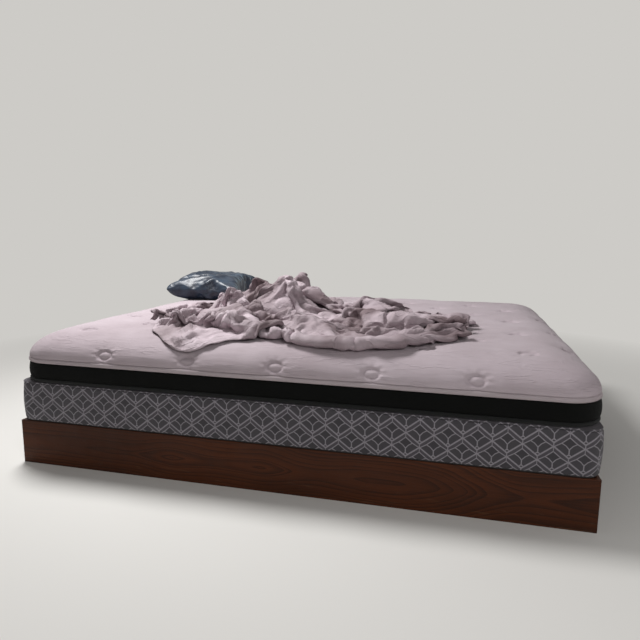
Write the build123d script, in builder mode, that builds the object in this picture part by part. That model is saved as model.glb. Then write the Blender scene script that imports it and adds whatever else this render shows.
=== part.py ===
from build123d import *

import os
from math import atan2, cos, degrees, hypot, pi, sin

# The bed in the nose of a travel trailer. A low oak-faced plinth holds three storage bays. A plywood
# deck lies over them and lifts on three butt hinges along the wall side. On the deck are a foundation
# in patterned cloth, a tufted mattress, a rumpled sheet and a small pillow.
#
# Millimetres. +Z is up, +X runs along the bed and -Y faces the aisle. The origin is on the floor,
# under the middle of the bed.

# Bed, measured over the mattress
bed_length = 1880.0
bed_width = 1524.0

# Plinth panels
plinth_inset = 6.0  # the front and end panels stand this far inside the mattress
wall_gap = 22.0  # from the mattress's wall side to the back of the plinth
panel_thickness = 12.0
panel_edge_round = 1.5
panel_gap = 0.5  # between the panels' top edges and the dust cover

# Plinth frame
frame_height = 143.0
stick = 38.0  # side of the square pine
stud_pitch = 360.0
end_stud_shift = 230.0
bay_count = 3
divider_thickness = 12.0

# Deck
deck_thickness = 12.0
deck_play = 5.0  # between the deck's edges and the panels
batten_width = 44.0
batten_depth = 19.0
batten_end_gap = 14.0

# Butt hinges of folded steel, let into the deck and the back rail
hinge_count = 3
hinge_span = 1500.0
hinge_width = 76.0
hinge_stand = 5.0  # from the back of the plinth to the pins' axis
leaf_length = 26.0
leaf_thickness = 1.5
leaf_play = 0.3
knuckle_radius = 4.0
knuckle_count = 5
knuckle_gap = 0.6
pin_radius = 2.0
pin_play = 0.05

# Screw holes
floor_hole_radius = 3.5
floor_hole_spacing_x = 1560.0
wall_hole_radius = 3.0
wall_hole_spacing_x = 1200.0

# Foundation
foundation_height = 140.0
foundation_inset = 4.0
foundation_corner = 45.0
foundation_edge_bevel = 3.0
dust_cover_thickness = 4.0
dust_cover_inset = 5.0  # inside the foundation's side
top_cloth_thickness = 6.0

# Mattress, in slabs from the underside up
mattress_corner = 110.0
underside_thickness = 4.0
underside_inset = 10.0
tape_height = 9.0
tape_edge_bevel = 2.5
border_height = 55.0
border_inset = 3.0
border_edge_bevel = 5.0
flange_height = 16.0
flange_inset = 1.0
flange_edge_bevel = 4.0

# Mattress top, a slab whose edge rolls over as a quarter ellipse
top_inset = 2.0
top_height = 90.0
top_skirt = 4.0  # upright part below the roll
roll_width = 165.0
roll_steps = 6
roll_least_corner = 8.0  # the corners tighten up the roll, down to this

# Tufts in staggered rows, each a dish that the thread pulls in, with folds that run to its seat.
# Their pitches follow the cloth over the roll.
tuft_pitch_x = 297.0
tuft_pitch_y = 154.0
tuft_margin = 25.0  # least distance from the cloth's edge
tuft_radius = 26.0
tuft_seat_radius = 8.0
tuft_depth = 9.0
tuft_folds = 10

# Bedding that lies on the mattress
rest_gap = 0.3
pillow_length = 500.0
pillow_width = 330.0
pillow_height = 135.0
pillow_corner = 90.0
pillow_end_gap = 40.0  # to the left end of the mattress
pillow_wall_gap = 42.0  # to its wall side
# Shares of the pillow's height, and how far in its side is there, as shares of its corner
pillow_levels = ((0.0, 0.5), (0.45, 0.0), (0.85, 0.35), (1.0, 0.9))
# Sheet, in sections across the bed. Each has a fold along its front and a swell behind it, with
# a dip midway between them.
# x, front y, fold y, fold height, dip height, swell y, swell height, back y
heap_sections = (
    (-610.0, -570.0, -470.0, 28.0, 20.0, -320.0, 20.0, -220.0),
    (-470.0, -660.0, -580.0, 46.0, 26.0, -210.0, 46.0, 90.0),
    (-310.0, -690.0, -370.0, 92.0, 58.0, -220.0, 110.0, 170.0),
    (-210.0, -690.0, -440.0, 60.0, 62.0, -110.0, 165.0, 210.0),
    (-100.0, -690.0, -590.0, 38.0, 16.0, -140.0, 128.0, 175.0),
    (10.0, -690.0, -480.0, 64.0, 30.0, -110.0, 62.0, 110.0),
    (130.0, -690.0, -500.0, 54.0, 28.0, -200.0, 48.0, 70.0),
    (270.0, -680.0, -570.0, 38.0, 22.0, -110.0, 70.0, 0.0),
    (620.0, -620.0, -540.0, 34.0, 20.0, -270.0, 28.0, -120.0),
)

# Places that follow from the sizes
plinth_length = bed_length - 2 * plinth_inset
plinth_front = -bed_width / 2 + plinth_inset
plinth_back = bed_width / 2 - wall_gap
frame_front = plinth_front + panel_thickness
frame_length = plinth_length - 2 * panel_thickness
frame_depth = plinth_back - frame_front
frame_middle = (plinth_back + frame_front) / 2
deck_top = frame_height + deck_thickness
panel_height = deck_top - panel_gap
front_stick = frame_front + stick / 2
back_stick = plinth_back - stick / 2
end_stick = frame_length / 2 - stick / 2
bay_depth = frame_depth - 2 * stick
bay_length = (frame_length - 2 * stick) / bay_count
bay_edges = [bay_length * (i - bay_count / 2) for i in range(bay_count + 1)]
hinge_xs = [hinge_span * (i / (hinge_count - 1) - 0.5) for i in range(hinge_count)]
hinge_axis_y = plinth_back + hinge_stand
leaf_seat = leaf_thickness + leaf_play / 2
leaf_reach = leaf_length - hinge_stand + leaf_play
foundation_top = deck_top + foundation_height
tape_bottom = foundation_top + underside_thickness
border_bottom = tape_bottom + tape_height
flange_bottom = border_bottom + border_height
top_bottom = flange_bottom + flange_height
mattress_top = top_bottom + top_height
rest_level = mattress_top + rest_gap
roll_height = top_height - top_skirt

os.makedirs("parts", exist_ok=True)

STANDING = (Align.CENTER, Align.CENTER, Align.MIN)


def finish(piece, label):
    """Names a finished piece and writes its file."""
    piece.part.label = label
    export_step(piece.part, f"parts/{label}.step")


def slab(bottom, height, inset, corner, edge_bevel=0.0):
    """A flat slab with the bed's outline, set in from it, its upper and lower edges bevelled."""
    with BuildPart() as layer:
        with BuildSketch(Plane.XY.offset(bottom)):
            RectangleRounded(bed_length - 2 * inset, bed_width - 2 * inset, corner)
        extrude(amount=height)
        if edge_bevel:
            rims = layer.edges().group_by(Axis.Z)
            chamfer(rims[0] + rims[-1], edge_bevel)
    return layer


# Plinth panels: the front one covers the ends of the side ones
with BuildPart() as panel_front:
    with Locations((0, plinth_front + panel_thickness / 2, 0)):
        Box(plinth_length, panel_thickness, panel_height, align=STANDING)
    face_edges = panel_front.edges().group_by(Axis.Y)[0]
    fillet(face_edges.sort_by(Axis.Z)[1:], panel_edge_round)
finish(panel_front, "panel_front")

for label, side in (("panel_left", -1), ("panel_right", 1)):
    with BuildPart() as panel_side:
        with Locations((side * (frame_length + panel_thickness) / 2, frame_middle, 0)):
            Box(panel_thickness, frame_depth, panel_height, align=STANDING)
        upper_edges = panel_side.edges().filter_by(Axis.Y).group_by(Axis.Z)[-1].sort_by(Axis.X)
        fillet(upper_edges[0] if side < 0 else upper_edges[-1], panel_edge_round)
    finish(panel_side, label)

# Pine frame: plates on the floor, with the holes that screw it down
with BuildPart() as floor_plates_long:
    with Locations((0, front_stick, 0), (0, back_stick, 0)):
        Box(frame_length, stick, stick, align=STANDING)
    with Locations((0, (front_stick + back_stick) / 2, stick)):
        with GridLocations(floor_hole_spacing_x, back_stick - front_stick, 2, 2):
            Hole(floor_hole_radius, depth=stick)
finish(floor_plates_long, "floor_plates_long")

# Rails under the deck, the back one with holes for the wall and seats for the hinges
with BuildPart() as top_rails_long:
    with Locations((0, front_stick, frame_height - stick), (0, back_stick, frame_height - stick)):
        Box(frame_length, stick, stick, align=STANDING)
    with Locations(Plane((0, plinth_back, frame_height - stick / 2), x_dir=(-1, 0, 0), z_dir=(0, 1, 0))):
        with GridLocations(wall_hole_spacing_x, 1, 2, 1):
            Hole(wall_hole_radius, depth=stick)
    with Locations(*[(x, plinth_back, frame_height) for x in hinge_xs]):
        Box(hinge_width + 2 * leaf_play, 2 * leaf_reach, 2 * leaf_seat, mode=Mode.SUBTRACT)
finish(top_rails_long, "top_rails_long")

# End plates and end rails, between the long ones
for label, bottom in (("floor_plates_short", 0.0), ("top_rails_short", frame_height - stick)):
    with BuildPart() as short_sticks:
        with Locations((-end_stick, frame_middle, bottom), (end_stick, frame_middle, bottom)):
            Box(stick, bay_depth, stick, align=STANDING)
    finish(short_sticks, label)

# Studs between plates and rails
stud_count = int((frame_length - stick) // stud_pitch) + 1
stud_step = (frame_length - stick) / (stud_count - 1)
stud_places = [
    (-end_stick + i * stud_step, y, stick) for i in range(stud_count) for y in (front_stick, back_stick)
]
stud_places += [
    (x, frame_middle + shift, stick)
    for x in (-end_stick, end_stick)
    for shift in (-end_stud_shift, end_stud_shift)
]
with BuildPart() as studs:
    with Locations(*stud_places):
        Box(stick, stick, frame_height - 2 * stick, align=STANDING)
finish(studs, "studs")

# Dividers between the bays, up to the deck
with BuildPart() as bay_dividers:
    with Locations(*[(x, frame_middle, 0) for x in bay_edges[1:-1]]):
        Box(divider_thickness, bay_depth, frame_height, align=STANDING)
finish(bay_dividers, "bay_dividers")


def hinge_leaves(side, first_knuckle):
    """One leaf of every hinge, with its rolled knuckles. side is 1 above the axis and -1 below it."""
    leaf_align = (Align.MIN, Align.MIN if side > 0 else Align.MAX)
    knuckle_pitch = hinge_width / knuckle_count
    flat_length = leaf_length - knuckle_radius - knuckle_gap
    with BuildPart() as leaves:
        for x in hinge_xs:
            start = Plane(
                (x - hinge_width / 2, hinge_axis_y, frame_height), x_dir=(0, 1, 0), z_dir=(1, 0, 0)
            )
            with BuildSketch(start):
                with Locations((-leaf_length, side * leaf_play / 2)):
                    Rectangle(flat_length, leaf_thickness, align=leaf_align)
            extrude(amount=hinge_width)
            for i in range(first_knuckle, knuckle_count, 2):
                with BuildSketch(start.offset(i * knuckle_pitch + knuckle_gap / 2)):
                    Circle(knuckle_radius)
                    with Locations((-2 * knuckle_radius, side * leaf_play / 2)):
                        Rectangle(2 * knuckle_radius, leaf_thickness, align=leaf_align)
                    Circle(pin_radius + pin_play, mode=Mode.SUBTRACT)
                extrude(amount=knuckle_pitch - knuckle_gap)
    return leaves


finish(hinge_leaves(-1, 0), "hinge_leaves_fixed")
finish(hinge_leaves(1, 1), "hinge_leaves_moving")

with BuildPart() as hinge_pins:
    with Locations(*[(x, hinge_axis_y, frame_height) for x in hinge_xs]):
        Cylinder(pin_radius, hinge_width, rotation=(0, 90, 0))
finish(hinge_pins, "hinge_pins")

# Deck: plywood dropped in between the panels, with seats for the hinges
deck_depth = frame_depth - deck_play
with BuildPart() as deck_panel:
    with Locations((0, plinth_back - deck_depth / 2, frame_height)):
        Box(frame_length - 2 * deck_play, deck_depth, deck_thickness, align=STANDING)
    with Locations(*[(x, plinth_back, frame_height) for x in hinge_xs]):
        Box(hinge_width + 2 * leaf_play, 2 * leaf_reach, 2 * leaf_seat, mode=Mode.SUBTRACT)
finish(deck_panel, "deck_panel")

with BuildPart() as deck_battens:
    with Locations(*[(x + bay_length / 2, frame_middle, frame_height) for x in bay_edges[:-1]]):
        Box(
            batten_width,
            bay_depth - 2 * batten_end_gap,
            batten_depth,
            align=(Align.CENTER, Align.CENTER, Align.MAX),
        )
finish(deck_battens, "deck_battens")

# Foundation: dust cover below, patterned border round the sides, plain cloth on top
cover_inset = foundation_inset + dust_cover_inset
border_base = deck_top + dust_cover_thickness
cloth_base = foundation_top - top_cloth_thickness
finish(
    slab(deck_top, dust_cover_thickness, cover_inset, foundation_corner - dust_cover_inset),
    "foundation_dust_cover",
)
with BuildPart() as foundation_border:
    with BuildSketch(Plane.XY.offset(border_base)):
        RectangleRounded(
            bed_length - 2 * foundation_inset, bed_width - 2 * foundation_inset, foundation_corner
        )
    extrude(amount=cloth_base - border_base)
    chamfer(foundation_border.edges().group_by(Axis.Z)[0], foundation_edge_bevel)
finish(foundation_border, "foundation_border")
with BuildPart() as foundation_top_cloth:
    with BuildSketch(Plane.XY.offset(cloth_base)):
        RectangleRounded(
            bed_length - 2 * foundation_inset, bed_width - 2 * foundation_inset, foundation_corner
        )
    extrude(amount=top_cloth_thickness)
    chamfer(foundation_top_cloth.edges().group_by(Axis.Z)[-1], foundation_edge_bevel)
finish(foundation_top_cloth, "foundation_top_cloth")

# Mattress sides: underside cloth, black tape, black border, white flange
finish(
    slab(foundation_top, underside_thickness, underside_inset, mattress_corner - underside_inset),
    "mattress_underside",
)
finish(slab(tape_bottom, tape_height, 0, mattress_corner, tape_edge_bevel), "mattress_tape")
finish(
    slab(border_bottom, border_height, border_inset, mattress_corner - border_inset, border_edge_bevel),
    "mattress_border",
)
finish(
    slab(flange_bottom, flange_height, flange_inset, mattress_corner - flange_inset, flange_edge_bevel),
    "mattress_flange",
)


def tapered_layer(outline, corner, bottom, top, inset_below, inset_above):
    """A layer of a rounded slab, set in by one amount at its bottom and another at its top."""
    wide, narrow = sorted((inset_below, inset_above))
    rises_inwards = inset_above >= inset_below
    length, width = outline
    rise = top - bottom
    with BuildPart() as layer:
        with BuildSketch(Plane.XY.offset(bottom if rises_inwards else top)):
            RectangleRounded(length - 2 * wide, width - 2 * wide, corner - wide)
        extrude(amount=rise if rises_inwards else -rise, taper=degrees(atan2(narrow - wide, rise)))
    return layer.part


# The roll's profile from its foot up to the flat: how far in, and how high above the skirt
roll_turns = [pi / 2 * i / roll_steps for i in range(roll_steps + 1)]
roll_profile = [(roll_width * (1 - cos(turn)), roll_height * sin(turn)) for turn in roll_turns]
roll_runs = list(zip(roll_profile, roll_profile[1:]))
roll_cloth = sum(hypot(high[0] - low[0], high[1] - low[1]) for low, high in roll_runs)
top_outline = (bed_length - 2 * top_inset, bed_width - 2 * top_inset)


def place_on_cloth(distance, side):
    """Where a point of the cloth lies that far from the middle: outwards, up, and the slope there."""
    beyond = abs(distance) - (side / 2 - roll_width)
    if beyond <= 0:
        return distance, top_height, 0.0
    for low, high in reversed(roll_runs):
        inwards, rise = high[0] - low[0], high[1] - low[1]
        run = hypot(inwards, rise)
        if beyond <= run:
            share = beyond / run
            out = side / 2 - high[0] + inwards * share
            height = top_skirt + high[1] - rise * share
            return (out if distance > 0 else -out), height, atan2(rise, inwards)
        beyond -= run


def tuft_plane(along, across):
    """The plane that touches the cloth at distances from its middle, on the flat part or on the roll."""
    x, height_x, slope_x = place_on_cloth(along, top_outline[0])
    y, height_y, slope_y = place_on_cloth(across, top_outline[1])
    if height_x < height_y:
        facing = (sin(slope_x) if x > 0 else -sin(slope_x), 0, cos(slope_x))
    else:
        facing = (0, sin(slope_y) if y > 0 else -sin(slope_y), cos(slope_y))
    return Plane((x, y, top_bottom + min(height_x, height_y)), z_dir=facing)


cloth_reach = [side / 2 - roll_width + roll_cloth - tuft_margin for side in top_outline]
tuft_columns = 2 * int(cloth_reach[0] / tuft_pitch_x) + 1
tuft_rows = 2 * int(cloth_reach[1] / tuft_pitch_y) + 1
tuft_planes = []
for row in range(tuft_rows):
    columns = tuft_columns - row % 2
    across = tuft_pitch_y * (row - (tuft_rows - 1) / 2)
    for column in range(columns):
        along = tuft_pitch_x * (column - (columns - 1) / 2)
        at_corner = row in (0, tuft_rows - 1) and column in (0, columns - 1)
        if not at_corner:
            tuft_planes.append(tuft_plane(along, across))

# Dish of one tuft: a prism bevelled down to the seat, and drawn out past the cloth so that it
# cuts right through it
dish_bevel = 2 * (tuft_radius - tuft_seat_radius) * cos(pi / tuft_folds)
with BuildPart() as tuft_dish:
    with BuildSketch(Plane.XY.offset(-tuft_depth)):
        RegularPolygon(2 * tuft_radius - tuft_seat_radius, tuft_folds)
    extrude(amount=3 * tuft_depth)
    seat_edges = tuft_dish.edges().group_by(Axis.Z)[0]
    chamfer(seat_edges, length=2 * tuft_depth, length2=dish_bevel)

# Mattress top: skirt, rolled edge and tufts
with BuildPart() as mattress_top_piece:
    with BuildSketch(Plane.XY.offset(top_bottom)):
        RectangleRounded(*top_outline, mattress_corner)
    extrude(amount=top_skirt)
    for low, high in roll_runs:
        foot = top_bottom + top_skirt + low[1]
        head = top_bottom + top_skirt + high[1]
        corner = mattress_corner - low[0]
        if corner > high[0] - low[0]:
            add(tapered_layer(top_outline, mattress_corner, foot, head, low[0], high[0]))
        else:
            for level, inset in ((foot, low[0]), (head, high[0])):
                with BuildSketch(Plane.XY.offset(level)):
                    RectangleRounded(
                        top_outline[0] - 2 * inset,
                        top_outline[1] - 2 * inset,
                        max(corner, roll_least_corner),
                    )
            loft(ruled=True)
    with Locations(*tuft_planes):
        add(tuft_dish.part, mode=Mode.SUBTRACT)
finish(mattress_top_piece, "mattress_top")

# Sheet, thrown in a heap along the front half of the bed
with BuildPart() as sheet_heap:
    for x, front, fold, fold_height, dip_height, swell, swell_height, back in heap_sections:
        with BuildSketch(Plane((x, 0, rest_level), x_dir=(0, 1, 0), z_dir=(1, 0, 0))):
            with BuildLine():
                Polyline(
                    (front, 0),
                    (fold, fold_height),
                    ((fold + swell) / 2, dip_height),
                    (swell, swell_height),
                    (back, 0),
                    close=True,
                )
            make_face()
    loft(ruled=True)
finish(sheet_heap, "sheet_heap")

# Pillow in the back left corner
pillow_place = Location(
    (
        pillow_end_gap + pillow_width / 2 - bed_length / 2,
        bed_width / 2 - pillow_wall_gap - pillow_length / 2,
        rest_level,
    )
)
with BuildPart() as pillow:
    for (low, narrow_low), (high, narrow_high) in zip(pillow_levels, pillow_levels[1:]):
        layer = tapered_layer(
            (pillow_width, pillow_length),
            pillow_corner,
            low * pillow_height,
            high * pillow_height,
            narrow_low * pillow_corner,
            narrow_high * pillow_corner,
        )
        with Locations(pillow_place):
            add(layer)
finish(pillow, "pillow")
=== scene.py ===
from math import atan2, cos, exp, hypot, pi, radians, sin

import bmesh
import bpy
from mathutils import Matrix, Vector, bvhtree, kdtree, noise


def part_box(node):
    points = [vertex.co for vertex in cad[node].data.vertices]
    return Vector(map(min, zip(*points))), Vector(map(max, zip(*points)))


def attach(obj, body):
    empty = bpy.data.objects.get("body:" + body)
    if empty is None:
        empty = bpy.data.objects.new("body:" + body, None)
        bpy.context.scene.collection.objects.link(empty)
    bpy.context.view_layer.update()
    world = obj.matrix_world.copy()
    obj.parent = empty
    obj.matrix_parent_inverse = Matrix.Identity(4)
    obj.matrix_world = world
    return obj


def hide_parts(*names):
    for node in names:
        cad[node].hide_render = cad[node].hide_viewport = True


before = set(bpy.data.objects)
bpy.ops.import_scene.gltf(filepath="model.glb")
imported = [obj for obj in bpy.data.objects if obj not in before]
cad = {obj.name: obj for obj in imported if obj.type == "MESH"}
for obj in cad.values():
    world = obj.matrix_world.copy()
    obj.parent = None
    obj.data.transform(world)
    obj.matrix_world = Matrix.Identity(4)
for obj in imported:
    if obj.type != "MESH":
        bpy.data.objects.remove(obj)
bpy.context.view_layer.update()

# Plinth panels
# Board faced with dark oak, its figure running along each panel. The front panel covers the ends
# of the side ones, and feet have scuffed all three a little along the floor.


def colour(red, green, blue):
    """A colour given as a screen shows it, 0 to 255, in the linear form that a shader takes."""
    levels = [level / 255 for level in (red, green, blue)]
    return (*[v / 12.92 if v <= 0.04045 else ((v + 0.055) / 1.055) ** 2.4 for v in levels], 1.0)


def add(tree, kind, inputs=None, **settings):
    """A new node with its settings. Each input is a value, or a socket to link."""
    node = tree.nodes.new("ShaderNode" + kind)
    for name, value in settings.items():
        setattr(node, name, value)
    for name, value in (inputs or {}).items():
        if isinstance(value, bpy.types.NodeSocket):
            tree.links.new(value, node.inputs[name])
        else:
            node.inputs[name].default_value = value
    return node


def maths(tree, operation, *values):
    """The result of a Math node."""
    return add(tree, "Math", dict(enumerate(values)), operation=operation).outputs[0]


def ramp(tree, value, low, high, start=0.0, end=1.0):
    """The value stretched from low..high to start..end, and kept in that range."""
    inputs = {"Value": value, "From Min": low, "From Max": high, "To Min": start, "To Max": end}
    return add(tree, "MapRange", inputs).outputs[0]


def mixed(tree, share, first, second, way="MIX"):
    """Two colours mixed by a share."""
    inputs = {0: share, 6: first, 7: second}
    return add(tree, "Mix", inputs, data_type="RGBA", blend_type=way).outputs[2]


def moved(tree, vector, place=(0, 0, 0), turn=(0, 0, 0), scale=(1, 1, 1)):
    """A vector through a Mapping node, its turn in degrees."""
    turn = [radians(angle) for angle in turn]
    inputs = {"Vector": vector, "Location": place, "Rotation": turn, "Scale": scale}
    return add(tree, "Mapping", inputs).outputs[0]


def cloud(tree, vector, scale, detail=2.0, rough=0.5):
    """Soft noise from 0 to 1."""
    inputs = {"Vector": vector, "Scale": scale, "Detail": detail, "Roughness": rough}
    return add(tree, "TexNoise", inputs).outputs[0]


def new_effect(name, inputs, outputs):
    """An empty node group with the named sockets, and its two end nodes."""
    tree = bpy.data.node_groups.new(name, "ShaderNodeTree")
    for label, kind in inputs:
        tree.interface.new_socket(label, in_out="INPUT", socket_type="NodeSocket" + kind)
    for label, kind in outputs:
        tree.interface.new_socket(label, in_out="OUTPUT", socket_type="NodeSocket" + kind)
    return tree, tree.nodes.new("NodeGroupInput").outputs, tree.nodes.new("NodeGroupOutput").inputs


def new_material(name, **fixed):
    """A material, its node tree and its shader with the fixed values set."""
    material = bpy.data.materials.new(name)
    material.use_nodes = True
    shader = material.node_tree.nodes["Principled BSDF"]
    for socket, value in fixed.items():
        shader.inputs[socket.replace("_", " ")].default_value = value
    return material, material.node_tree, shader


def connect(tree, shader, paint, rough=None, height=None, depth=0.001):
    """Feeds the shader a colour, a roughness and a bump of the given depth in metres."""
    tree.links.new(paint, shader.inputs["Base Color"])
    if rough is not None:
        tree.links.new(rough, shader.inputs["Roughness"])
    if height is not None:
        bump = add(tree, "Bump", {"Height": height, "Distance": depth, "Strength": 1.0})
        tree.links.new(bump.outputs[0], shader.inputs["Normal"])


def dress(material, *names):
    """Gives CAD nodes a material in place of the plain one they come with."""
    for name in names:
        cad[name].data.materials.clear()
        cad[name].data.materials.append(material)


# Timber: X runs along the trunk, whose heart lies near Y = Z = 0 and bends towards the face and
# away from it. The face cuts the growth rings in nested arches, and pores are fine dark strokes.
grain, given, result = new_effect(
    "timber grain",
    (
        ("Vector", "Vector"),
        ("Ring Width", "Float"),
        ("Wander", "Float"),
        ("Bend", "Float"),
        ("Early Wood", "Color"),
        ("Late Wood", "Color"),
        ("Pores", "Float"),
    ),
    (("Color", "Color"), ("Height", "Float")),
)
place = add(grain, "SeparateXYZ", {0: given["Vector"]}).outputs
bend = cloud(grain, moved(grain, given["Vector"], scale=(1.15, 0, 0)), 1.0, 1.0)
out = maths(grain, "MULTIPLY_ADD", maths(grain, "SUBTRACT", bend, 0.5), given["Bend"], place[1])
arch_power = 1.45
outwards = maths(grain, "POWER", maths(grain, "ABSOLUTE", out), arch_power)
upwards = maths(grain, "POWER", maths(grain, "ABSOLUTE", place[2]), arch_power)
wander = cloud(grain, moved(grain, given["Vector"], scale=(2.6, 9, 9)), 1.0, 2.0)
wander = maths(grain, "MULTIPLY", maths(grain, "SUBTRACT", wander, 0.5), given["Wander"])
radius = maths(grain, "POWER", maths(grain, "ADD", outwards, upwards), 1 / arch_power)
radius = maths(grain, "ADD", radius, wander)
years = maths(grain, "DIVIDE", radius, given["Ring Width"])
uneven = add(grain, "TexNoise", {"W": years, "Scale": 0.6, "Detail": 1.0}, noise_dimensions="1D").outputs[0]
ring = maths(grain, "FRACT", maths(grain, "MULTIPLY_ADD", uneven, 2.2, years))
late = maths(grain, "SUBTRACT", maths(grain, "POWER", ring, 2.0), ramp(grain, ring, 0.90, 1.0))
fibre = cloud(grain, moved(grain, given["Vector"], scale=(9, 420, 420)), 1.0, 2.0)
stroke = ramp(grain, cloud(grain, moved(grain, given["Vector"], scale=(34, 900, 900)), 1.0), 0.60, 0.70)
stroke = maths(grain, "MULTIPLY", stroke, given["Pores"])
tone = maths(grain, "MULTIPLY_ADD", ramp(grain, fibre, 0.3, 0.7), 0.3, maths(grain, "MULTIPLY", late, 0.8))
tone = maths(grain, "ADD", tone, maths(grain, "MULTIPLY", stroke, 0.5))
grain.links.new(mixed(grain, tone, given["Early Wood"], given["Late Wood"]), result["Color"])
dip = maths(grain, "ADD", maths(grain, "MULTIPLY", stroke, -0.7), maths(grain, "MULTIPLY", fibre, 0.3))
grain.links.new(dip, result["Height"])

oak_early = colour(80, 39, 15)
oak_late = colour(36, 16, 6)
oak_shade = colour(43, 20, 8)
scuff_paint = colour(98, 72, 52)
oak_heart_depth = 0.030
oak_heart_height = 0.078


def oak_face(name, turn, face, shift):
    """Oak facing, its grain turned to run along a panel whose face lies at a place in metres."""
    material, tree, shader = new_material(name, Specular_IOR_Level=0.18, Coat_Weight=0.02, Coat_Roughness=0.4)
    spot = add(tree, "TexCoord").outputs["Object"]
    inputs = {
        "Vector": moved(tree, spot, (shift, oak_heart_depth - face, -oak_heart_height), (0, 0, turn)),
        "Ring Width": 0.0125,
        "Wander": 0.034,
        "Bend": 0.52,
        "Early Wood": oak_early,
        "Late Wood": oak_late,
        "Pores": 1.0,
    }
    board = add(tree, "Group", inputs, node_tree=grain).outputs
    height = add(tree, "SeparateXYZ", {0: spot}).outputs[2]
    shade = ramp(tree, cloud(tree, moved(tree, spot, scale=(2.2, 2.2, 9)), 1.0, 3.0), 0.42, 0.72, 0.0, 0.6)
    scratch = cloud(tree, moved(tree, spot, turn=(0, 18, 0), scale=(14, 14, 160)), 1.0, 3.0)
    low = ramp(tree, height, 0.0, 0.07, 0.5, 0.0)
    worn = maths(tree, "MULTIPLY", ramp(tree, scratch, 0.62, 0.72), low)
    paint = mixed(tree, worn, mixed(tree, shade, board["Color"], oak_shade), scuff_paint)
    rough = ramp(tree, cloud(tree, spot, 22.0, 4.0), 0.3, 0.7, 0.45, 0.6)
    connect(tree, shader, paint, rough, board["Height"], 0.0004)
    return material


front_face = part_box("panel_front")[0].y
left_face = -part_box("panel_left")[0].x
right_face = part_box("panel_right")[1].x
dress(oak_face("oak facing, front", turn=0, face=front_face, shift=0.55), "panel_front")
dress(oak_face("oak facing, left", turn=-90, face=left_face, shift=2.1), "panel_left")
dress(oak_face("oak facing, right", turn=90, face=right_face, shift=3.4), "panel_right")

# Pine frame
# Square softwood, planed and left bare: plates on the floor, studs, rails under the deck, and the
# deck's own battens. Every stick's grain runs along it, with a knot here and there.
pine_early = colour(212, 178, 132)
pine_late = colour(172, 122, 72)
pine_knot = colour(98, 58, 32)


def pine(name, turn):
    """Bare pine with its grain turned to run along a stick."""
    material, tree, shader = new_material(name)
    spot = add(tree, "TexCoord").outputs["Object"]
    along = moved(tree, spot, (0.2, 0.11, 0.06), turn)
    inputs = {
        "Vector": moved(tree, along, turn=(0, 3, 2)),
        "Ring Width": 0.0055,
        "Wander": 0.012,
        "Bend": 0.05,
        "Early Wood": pine_early,
        "Late Wood": pine_late,
        "Pores": 0.25,
    }
    board = add(tree, "Group", inputs, node_tree=grain).outputs
    cells = {"Vector": moved(tree, along, scale=(1.6, 9, 9)), "Scale": 1.0}
    knot = ramp(tree, add(tree, "TexVoronoi", cells).outputs["Distance"], 0.06, 0.16, 0.9, 0.0)
    paint = mixed(tree, knot, board["Color"], pine_knot)
    rough = ramp(tree, cloud(tree, spot, 40.0, 3.0), 0.3, 0.7, 0.62, 0.8)
    connect(tree, shader, paint, rough, board["Height"], 0.0005)
    return material


dress(pine("pine, lengthways", turn=(0, 0, 0)), "floor_plates_long", "top_rails_long")
dress(pine("pine, crossways", turn=(0, 0, 90)), "floor_plates_short", "top_rails_short", "deck_battens")
dress(pine("pine, upright", turn=(0, 90, 0)), "studs")

# Plywood
# Softwood ply in five layers. The faces show the outer veneer's broad figure, and the edges show
# the layers, every other one end grain. It makes the deck and, stood on edge, the bay dividers.
ply_early = colour(206, 170, 122)
ply_late = colour(168, 120, 74)
ply_end = colour(118, 78, 46)
ply_layers = 5
ply_skin = 0.0001


def plywood(name, depth_of, thickness, turn):
    """Plywood whose layers are counted by a function that gives a place's depth from the middle."""
    material, tree, shader = new_material(name)
    spot = add(tree, "TexCoord").outputs["Object"]
    along = moved(tree, spot, (0.1, 0.3, 0.25), turn)
    inputs = {
        "Vector": moved(tree, along, turn=(0, 2.5, 3), scale=(1, 0.16, 1)),
        "Ring Width": 0.014,
        "Wander": 0.05,
        "Bend": 0.10,
        "Early Wood": ply_early,
        "Late Wood": ply_late,
        "Pores": 0.35,
    }
    board = add(tree, "Group", inputs, node_tree=grain).outputs
    depth = depth_of(tree, add(tree, "SeparateXYZ", {0: spot}).outputs)
    inside = maths(tree, "LESS_THAN", maths(tree, "ABSOLUTE", depth), thickness / 2 - ply_skin)
    layer = maths(tree, "MULTIPLY_ADD", depth, ply_layers / thickness, ply_layers / 2)
    crosswise = maths(tree, "MODULO", maths(tree, "FLOOR", layer), 2.0)
    specks = ramp(tree, cloud(tree, spot, 900.0, 2.0), 0.35, 0.65, 0.3, 1.0)
    from_middle = maths(tree, "ABSOLUTE", maths(tree, "SUBTRACT", maths(tree, "FRACT", layer), 0.5))
    glue = maths(tree, "MULTIPLY", ramp(tree, from_middle, 0.40, 0.5), 0.7)
    shade = maths(tree, "MAXIMUM", maths(tree, "MULTIPLY", crosswise, specks), glue)
    paint = mixed(tree, maths(tree, "MULTIPLY", shade, inside), board["Color"], ply_end)
    rough = ramp(tree, cloud(tree, spot, 30.0, 3.0), 0.3, 0.7, 0.6, 0.78)
    connect(tree, shader, paint, rough, board["Height"], 0.0005)
    return material


deck_low, deck_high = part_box("deck_panel")
divider_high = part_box("bay_dividers")[1]
divider_thickness = 0.012


def depth_in_deck(tree, place):
    """How far above the middle of the deck a place lies."""
    return maths(tree, "SUBTRACT", place[2], (deck_low.z + deck_high.z) / 2)


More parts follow.
